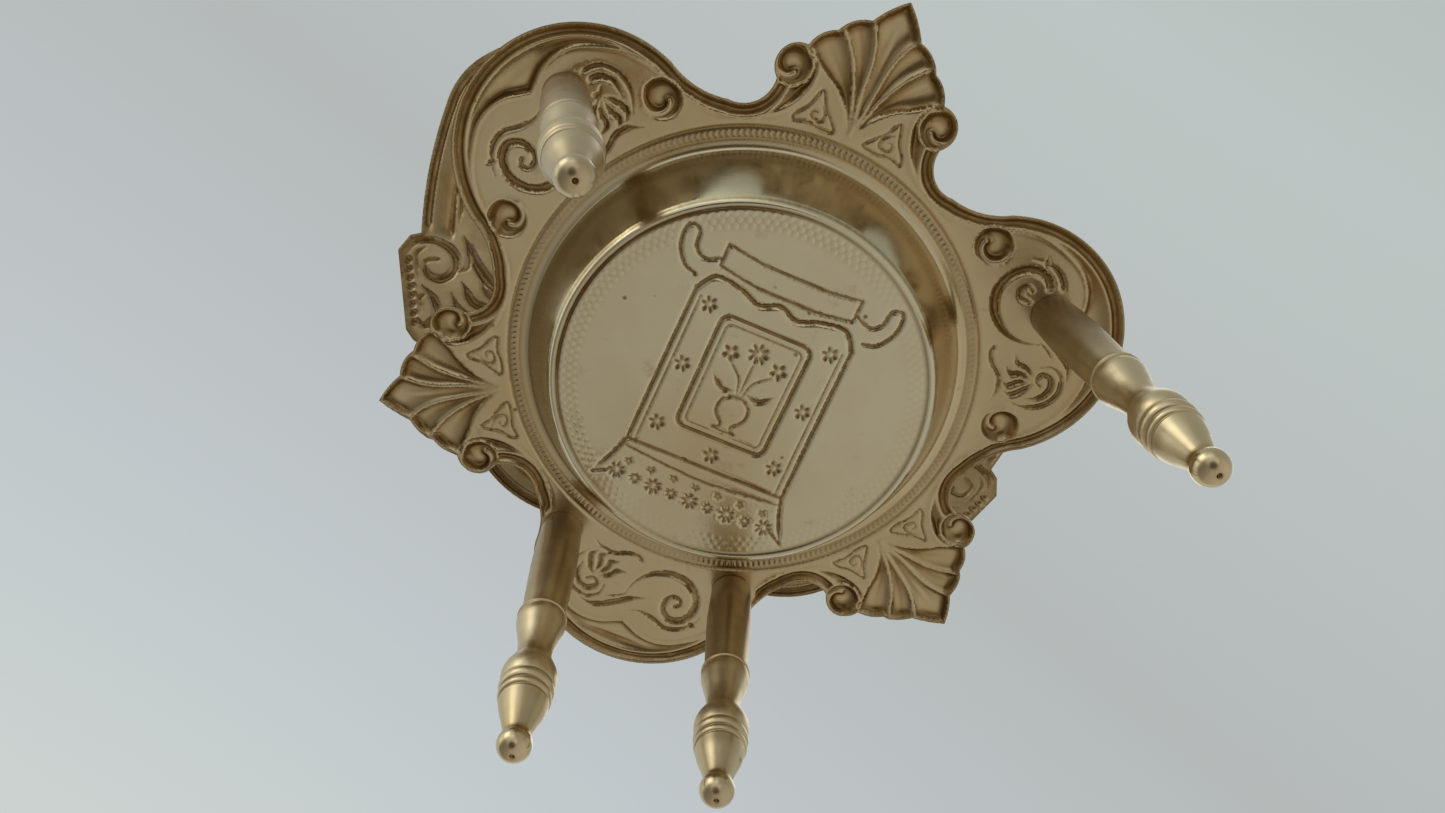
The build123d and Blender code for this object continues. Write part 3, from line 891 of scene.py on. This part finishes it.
# ---------- cover plate
# In its own plane: x across, y up from the hinge line, z towards the seat, relief pressed away from the seat.
COVER_ANGLE = math.radians(42.6)
HINGE_Y, HINGE_Z = 45.0, 50.2
COVER_MIDDLE = -1.9
MEDALLION_AT, MEDALLION_R, MEDALLION_DEPTH, MEDALLION_SLOPE = (0, 52.0), 26.7, 2.4, 2.0
RAYS_FROM, RAYS_TO, ROSETTE_R, BOSS_R = 12.4, 21.6, 10.6, 3.2
PETALS = 12
STUD_RING_R, STUDS = 23.0, 72
RIVETS = [(-4.6, 19.0), (4.6, 19.0)]
RIVET_R = 0.9
BELOW_EAR = [
    (0, 13.6), (5.5, 13.1), (11, 12.0), (20.0, 11.2), (29.0, 15.2), (37.0, 20.9), (44.0, 28.6),
]
ABOVE_EAR = [
    (51.6, 46.1), (55.2, 58.0), (57.2, 70.0), (54.4, 82.6), (44.0, 90.0), (32.0, 92.0), (20.0, 89.5),
    (14.5, 88.6), (9.6, 91.0), (8.6, 94.2), (5.4, 95.2), (2.6, 96.4), (0, 98.5),
]
EAR = [(44.0, 28.6), (45.6, 28.8), (47.3, 30.0), (53.7, 41.9), (53.0, 45.0), (51.6, 46.1)]
EAR_BEADS = 8

# half of the mirrored scrollwork: (points, half width, depth, start, end)
COVER_SCROLLS = [
    # shoulder scroll, curling in from the top rail
    ([(12.5, 84.6), (19.0, 83.2), (26.0, 84.4), (34.0, 86.0), (42.0, 84.0), (48.5, 78.2), (51.0, 70.0),
      (49.0, 62.4), (44.0, 59.0), (38.6, 60.8), (36.8, 66.0), (39.4, 70.4), (43.8, 69.8), (45.0, 66.2),
      (42.2, 64.4)], 1.25, 0.95, 0.2, 0.6),
    ([(36.8, 73.0), (33.0, 78.0), (26.4, 80.4), (19.6, 79.2), (15.6, 80.8)], 0.9, 0.75, 0.2, 0.2),
    ([(45.6, 75.0), (41.2, 78.6), (36.0, 79.4)], 0.8, 0.7, 0.2, 0.2),
    ([(47.6, 57.0), (42.4, 55.6), (37.6, 53.0), (33.8, 49.4)], 0.9, 0.75, 0.25, 0.15),
    # ear scroll
    ([(52.3, 41.4), (51.6, 44.2), (48.8, 45.9), (45.6, 45.0), (44.4, 42.4), (45.6, 40.0), (48.0, 39.9),
      (49.0, 41.8), (47.5, 42.9)], 0.62, 0.6, 0.3, 0.5),
    ([(47.9, 37.6), (45.4, 36.3), (43.9, 34.0), (44.9, 31.6), (46.6, 31.9)], 0.55, 0.55, 0.3, 0.5),
    ([(43.6, 47.6), (41.4, 44.6), (37.4, 42.2), (33.6, 42.2)], 0.8, 0.7, 0.2, 0.2),
    ([(42.6, 40.8), (39.4, 38.2), (36.0, 38.8)], 0.6, 0.55, 0.2, 0.2),
    ([(43.4, 38.4), (41.2, 36.2), (37.8, 35.6), (35.0, 36.6)], 0.55, 0.5, 0.2, 0.3),
    ([(42.2, 36.0), (40.0, 33.6), (37.0, 33.0)], 0.45, 0.45, 0.3, 0.3),
    ([(40.6, 44.2), (38.2, 40.8), (34.6, 40.2), (32.6, 41.0)], 0.5, 0.5, 0.2, 0.3),
    ([(45.4, 48.4), (43.4, 46.2), (42.6, 43.8), (43.6, 42.2)], 0.5, 0.5, 0.3, 0.4),
    ([(50.0, 44.2), (50.8, 42.6), (50.2, 40.8), (48.9, 38.8)], 0.4, 0.45, 0.4, 0.4),
    ([(46.4, 33.8), (47.4, 35.4), (46.9, 36.6)], 0.4, 0.45, 0.5, 0.4),
    ([(48.6, 48.8), (49.6, 52.0), (51.6, 54.4)], 0.45, 0.45, 0.4, 0.3),
    ([(46.9, 50.4), (47.8, 53.6), (49.4, 56.0)], 0.45, 0.45, 0.4, 0.3),
    # foot scroll
    ([(41.4, 33.6), (37.0, 27.6), (31.0, 22.4), (24.4, 18.4), (17.6, 18.0), (13.6, 21.4), (15.4, 25.6),
      (19.6, 25.8), (20.6, 22.6), (18.0, 21.8)], 1.05, 0.85, 0.2, 0.6),
    ([(38.4, 33.4), (33.4, 30.8), (28.4, 28.2), (25.2, 24.6)], 0.8, 0.7, 0.2, 0.2),
    ([(30.8, 25.6), (27.4, 21.8), (24.2, 21.4)], 0.6, 0.55, 0.2, 0.2),
]
CREST_RIBS = [
    [(0.3, 85.4), (1.5, 90.0), (2.2, 93.6), (3.2, 96.6)],
    [(0.4, 85.2), (3.2, 88.6), (5.6, 91.6), (8.0, 94.8)],
    [(0.5, 84.8), (4.4, 86.2), (8.4, 88.0), (11.6, 91.8)],
]


def cover_outline(step):
    half = np.vstack([arcs(BELOW_EAR, step), along(EAR, step)[:-1], arcs(ABOVE_EAR, step)])
    return np.vstack([half, ABOVE_EAR[-1], mirror(half)[:0:-1]])


def cover_height(spots, edge):
    """The plate with its medallion's bowl, and the relief pressed into it."""
    half = right_half(spots)
    off = spots - np.array(MEDALLION_AT)
    r = np.linalg.norm(off, axis=1)
    turn = np.arctan2(off[:, 1], off[:, 0])

    # rim band and plain field
    inner = 5.4 - edge
    band = np.where(edge < CREST, 0.7 * swell(np.minimum(edge - 0.35, CREST - edge), 0.5),
                    1.0 * swell(inner, 0.9) * swell(edge - CREST, 2.2))
    ear = ease(spots[:, 1], 27.5, 29.5) * (1 - ease(spots[:, 1], 46.5, 49.0)) * ease(half[:, 0], 40.5, 43.0)
    top = (1 - ease(half[:, 0], 11.0, 15.0)) * ease(spots[:, 1], 82.5, 84.5)
    relief = band * (1 - ear) * (1 - top)
    relief -= 0.12 * ridge(inner, 0.3) * (1 - ear) * (1 - top)

    for points, width, depth, start, end in COVER_SCROLLS:
        relief = np.maximum(relief, stroke(half, smooth(points), width, depth, start, end))
    low, high = np.array([46.6, 31.6]), np.array([51.6, 40.9])
    for k in range(EAR_BEADS):
        bead = low + (high - low) * k / (EAR_BEADS - 1)
        relief = np.maximum(relief, 0.55 * swell(0.72 - away(half, bead), 0.6))

    # crest: five flutes
    ribs = [smooth(points) for points in CREST_RIBS]
    rib = np.minimum.reduce([reach(half, line, 3) for line in ribs])
    fan = within(half, np.vstack([ribs[2], [(14, 110), (-2, 110), (-2, 84.8)]]))
    relief = np.where(fan, 0.95 * swell(rib, 1.6) * swell(edge, 1.4) * ease(spots[:, 1], 84.8, 89.0), relief)

    # round medallion: wall, bead ring, rays and a twelve-petal rosette
    wall = np.clip((MEDALLION_R - r) / MEDALLION_SLOPE, 0, 1)
    wall = wall * wall * (3 - 2 * wall)
    inside = r < MEDALLION_R
    gaps = np.sqrt(np.abs(np.cos(PETALS * turn)) + 1e-6)
    rays = 0.5 * swell(np.minimum(r - RAYS_FROM, RAYS_TO - r), 2.6) * gaps
    past_stud = (np.mod(turn * STUDS / (2 * np.pi) + 0.5, 1) - 0.5) * 2 * np.pi * STUD_RING_R / STUDS
    beads = 0.5 * swell(0.75 - np.hypot(r - STUD_RING_R, past_stud), 0.6)
    petals = 0.7 * swell(ROSETTE_R * (0.84 + 0.16 * np.cos(PETALS * turn)) - r, 1.6)
    between = np.exp(-((np.sin(PETALS / 2 * turn) * r / 0.5) ** 2)) * ease(r, 2.6, 4.0)
    rosette = np.where(r < BOSS_R, swell(BOSS_R - r, 2.4), petals * (1 - 0.75 * between))
    face = np.maximum.reduce([rays, beads, rosette])
    relief = np.where(inside, MEDALLION_DEPTH * wall + face * (wall > 0.98), relief)
    ring = 0.55 * ridge(r - 28.6, 0.55)
    relief = np.where(r > 27.2, np.maximum(relief, ring * (0.6 + 0.4 * np.cos(100 * turn))), relief)

    # flat where the hinge's leaf lies and at the rivets
    x, y = half[:, 0], spots[:, 1]
    flat = (1 - ease(x, 8.6, 10.0)) * (1 - ease(y, 24.4, 25.2))
    relief = np.where(relief > 0, relief * (1 - flat), relief)
    relief -= 0.3 * (1 - ease(edge, 0, 0.7)) * (1 - flat)
    bowl = np.where(inside, MEDALLION_DEPTH * wall, 0)
    return COVER_MIDDLE - bowl, bowl - relief


def cover():
    step = 0.3
    outline = cover_outline(0.05)
    edge_line = thin_line(outline, step)
    foot = MEDALLION_R - MEDALLION_SLOPE
    rings = [circle(r, 520, MEDALLION_AT) for r in np.arange(foot - 0.6, MEDALLION_R + 0.7, 0.3)]
    holes = [circle(RIVET_R, 24, spot) for spot in RIVETS]
    detail = table_rows(COVER_SCROLLS, step)
    detail += [rows(smooth(points), 0, step=step) for points in CREST_RIBS]
    detail = np.vstack(detail + [mirror(line) for line in detail])
    detail = detail[away(detail, MEDALLION_AT) > MEDALLION_R + 0.8]
    detail = detail[within(detail, outline)]
    detail = clear_of(detail, edge_line, 0.8 * step)
    rest = filling((-58, 9), (58, 100), step, outline, edge_line, detail)
    r = away(rest, MEDALLION_AT)
    rest = rest[(r < foot - 0.8) | (r > MEDALLION_R + 0.8)]
    for spot in RIVETS:
        rest = rest[away(rest, spot) > RIVET_R + 0.5 * step]
    spots = np.vstack([edge_line] + rings + holes + [detail, rest])
    spots, faces = triangles(spots, edge_line, [(s, RIVET_R) for s in RIVETS])
    edge = edge_distance(spots, outline)
    base, relief = cover_height(spots, edge)
    c, s = math.cos(COVER_ANGLE), math.sin(COVER_ANGLE)
    place = np.array([[1, 0, 0, 0], [0, -c, -s, HINGE_Y], [0, s, -c, HINGE_Z], [0, 0, 0, 1]])
    # painted shade: the whole cover is made browner, and browner still along its stamped edge
    stain_and_shade = 0.6 + 0.25 * ridge(edge, 0.9)
    piece = sheet_piece("cover_plate_embossed", spots, faces, base, relief, place, [("stain_and_shade", stain_and_shade)])
    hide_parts("cover_plate")
    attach(piece, "cover")
    return piece


# ---------- turned legs
SEAT_UNDER, FOOT_R = 48.0, 2.0
LEG_SIDES = 96
DIMPLE = [(0.0, -1.6), (0.22, -1.75), (0.33, -1.9726)]
BALL = [(0.33, -1.9726), (FOOT_R, 0), (1.55, 1.264)]
CONE = [(1.55, 1.264), (1.6, 1.9), (2.05, 3.6), (2.6, 5.4), (2.94, 6.9)]
GROOVES_AND_BEADS = [
    (2.94, 6.9), (2.8, 7.1), (2.95, 7.3), (3.15, 7.8), (2.95, 8.3), (2.86, 8.42), (3.0, 8.55),
    (3.28, 9.2), (3.14, 9.85), (3.06, 9.95), (3.14, 10.05), (3.35, 11.4), (3.12, 12.8), (2.98, 12.9),
    (2.99, 13.05),
]
VASE = [(2.99, 13.05), (2.7, 13.9), (2.3, 14.8), (2.12, 16.2), (2.3, 18.2), (2.75, 20.4), (3.1, 22.2),
        (3.02, 23.4)]
SHOULDER = [(3.02, 23.4), (3.16, 23.55), (3.17, 23.75), (3.02, 23.9), (2.74, 24.0)]
SHANK = [(2.74, 24.0), (2.95, 30.0), (3.1, 36.5), (3.02, 41.5), (2.85, 46.5)]
DARK_FROM, DARK_TO, SHANK_SHADE = 21.0, 30.0, 0.5     # painted reflection and shade: above the vase the shank is made brown where it mirrors the seat over it
BRIGHT_BALL = (1.0, 2.4)                # the ball is rubbed bright up to here


def leg_profile():
    """(radius, height above the foot's centre): dimpled ball, egg, beads, barrel, waisted vase and shank."""
    return np.vstack([along(DIMPLE, 0.1)[:-1], arc(*BALL, 0.12), smooth(CONE, step=0.15)[:-1],
                      arcs(GROOVES_AND_BEADS, 0.07), smooth(VASE, step=0.2)[:-1],
                      along(SHOULDER, 0.06)[:-1], smooth(SHANK, step=0.5)[:-1]])


def leg(corner, spot, lean, leg_shade):
    top = np.array([*spot, SEAT_UNDER])
    foot = np.array([spot[0] + lean[0], spot[1] + lean[1], FOOT_R])
    up = (top - foot) / np.linalg.norm(top - foot)
    side = np.cross([0, 1, 0], up)
    side /= np.linalg.norm(side)
    other = np.cross(up, side)
    profile = leg_profile()
    radius, height = profile.T
    turn = 2 * np.pi * np.arange(LEG_SIDES) / LEG_SIDES
    rings = (foot + up * height[:, None, None]
             + radius[:, None, None] * (side * np.cos(turn)[:, None] + other * np.sin(turn)[:, None]))
    last = rings[-1] + up * ((SEAT_UNDER - rings[-1][:, 2:]) / up[2])
    rings = np.concatenate([rings[1:], last[None]])
    verts = np.vstack([foot + up * height[0], rings.reshape(-1, 3), top])
    n = LEG_SIDES
    faces = [(0, 1 + (j + 1) % n, 1 + j) for j in range(n)]
    for i in range(len(rings) - 1):
        a = 1 + i * n
        faces += [(a + j, a + (j + 1) % n, a + n + (j + 1) % n, a + n + j) for j in range(n)]
    a, end = 1 + (len(rings) - 1) * n, len(verts) - 1
    faces += [(a + j, a + (j + 1) % n, end) for j in range(n)]
    name = f"leg_{corner}_turned"
    mesh = bpy.data.meshes.new(name)
    mesh.from_pydata([tuple(v * MM) for v in verts], [], faces)
    # tarnish stays in the grooves: a hollow is where the profile is slimmer than its own average
    wide = np.convolve(np.pad(radius, 6, mode="edge"), np.ones(13) / 13, "valid")
    hollow = np.clip((wide - radius) * 0.9, 0, 0.35)[1:]
    hollow[:2] = 0.3
    hollow = np.concatenate([[0.4], np.repeat(hollow, n), np.full(n + 1, 0.5)])
    length = np.linalg.norm(top - foot)
    levels = np.concatenate([height[:1], np.repeat(height[1:], n), np.full(n + 1, length)])
    # painted shade on each leg, turning above the vase into the shank's painted reflection
    stain_and_shade = leg_shade + (SHANK_SHADE - leg_shade) * ease(levels, DARK_FROM, DARK_TO)
    piece = finished(mesh, [("hollow", hollow), ("along", levels), ("stain_and_shade", stain_and_shade),
                            ("polish", 1 - ease(levels, *BRIGHT_BALL))])
    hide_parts(f"leg_{corner}")
    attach(piece, "stand")
    return piece


# ---------- materials
GOLD = (0.600, 0.465, 0.260)
PALE = (0.670, 0.595, 0.400)
WARM = (0.50, 0.33, 0.13)
BROWN = (0.185, 0.100, 0.030)


def aged_brass(name, gold=GOLD, rough=0.27, patches=0.3, grain=0.25, lathe_marks=False):
    """Satin brass plating: warm in places, silvery where the plating wears thin and where a reflection is
    painted, brown in its hollows and where shade is painted, with pits and specks.
    The pieces carry hollow (tarnish in creases), a brown share (brown bands, mostly painted shade) and a
    silvery share (wear, and in places a painted reflection) on their vertices."""
    mat = bpy.data.materials.new(name)
    n = Nodes(mat)
    shader = n.tree.nodes["Principled BSDF"]
    # silvery share: wear, and on the front side of the seat's dish wall a painted reflection
    wear_and_sheen = n.attribute("wear_and_sheen")
    mottle = n.noise(420, 5, 0.65)

    silver = n.math("ADD", n.times(wear_and_sheen, 0.85), n.span(n.noise(55, 4, 0.6), 0.48, 0.68, 0, 0.3))
    colour = n.blend(silver, gold, PALE)
    warm = n.span(n.noise(75, 3, 0.5), 0.50, 0.75, 0, 0.35)
    colour = n.blend(n.times(warm, n.math("SUBTRACT", 1.0, wear_and_sheen)), colour, WARM)
    colour = n.blend(n.span(n.attribute("hollow"), 0.0, 0.10, 0, 0.55), colour, WARM)
    creases = n.span(n.attribute("hollow"), 0.01, 0.26, 0, 0.9)
    dirt_and_shade = n.times(creases, n.span(mottle, 0.3, 0.62, 0.6, 1))
    # brown bands: mostly painted shade and painted reflection
    band = n.times(n.attribute("stain_and_shade"), n.span(n.noise(170, 5, 0.65), 0.32, 0.6, 0.6, 1))
    patch = n.span(n.noise(240, 6, 0.7), 0.60, 0.74, 0, patches)
    dirt_and_shade = n.math("MAXIMUM", n.math("MAXIMUM", dirt_and_shade, band), patch)
    specks = n.add("ShaderNodeTexVoronoi", Scale=260)
    n.link(n.place(), specks.inputs["Vector"])
    speck = n.span(specks.outputs["Distance"], 0.10, 0.055)
    speck = n.times(speck, n.span(n.noise(90, 2), 0.52, 0.62))
    dirt_and_shade = n.math("MAXIMUM", dirt_and_shade, n.times(speck, 0.8))
    colour = n.blend(dirt_and_shade, colour, BROWN)
    n.link(colour, shader.inputs["Base Color"])
    shader.inputs["Metallic"].default_value = 1.0

    shine = n.span(mottle, 0.3, 0.7, rough - 0.03, rough + 0.05)
    shine = n.math("ADD", shine, n.times(dirt_and_shade, 0.15))
    polish = n.math("ADD", n.times(wear_and_sheen, 0.05), n.times(n.attribute("polish"), 0.12))
    n.link(n.math("SUBTRACT", shine, polish), shader.inputs["Roughness"])

    height = n.math("ADD", n.times(n.noise(2600, 2, 0.5), 0.5), n.times(mottle, 0.6))
    if lathe_marks:
        level = n.add("ShaderNodeCombineXYZ")
        n.link(n.attribute("along"), level.inputs["X"])
        height = n.math("ADD", height, n.times(n.noise(7.0, 4, 0.7, level.outputs[0]), 0.8))
    bump = n.add("ShaderNodeBump", Strength=grain, Distance=0.00012)
    n.link(height, bump.inputs["Height"])
    n.link(bump.outputs[0], shader.inputs["Normal"])
    return mat


sheet_brass = aged_brass("stamped_brass", rough=0.21, grain=0.16)
leg_brass = aged_brass("turned_brass", gold=(0.71, 0.57, 0.35), rough=0.31, patches=0.05, grain=0.09,
                       lathe_marks=True)
fitting_brass = aged_brass("fitting_brass", gold=(0.54, 0.41, 0.21), rough=0.30, patches=0.6, grain=0.35)

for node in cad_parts.values():
    for place in node.material_slots:
        place.material = fitting_brass
for plate in (seat(), cover()):
    plate.data.materials.append(sheet_brass)
for corner, (spot, lean, leg_shade) in LEGS.items():
    leg(corner, spot, lean, leg_shade).data.materials.append(leg_brass)
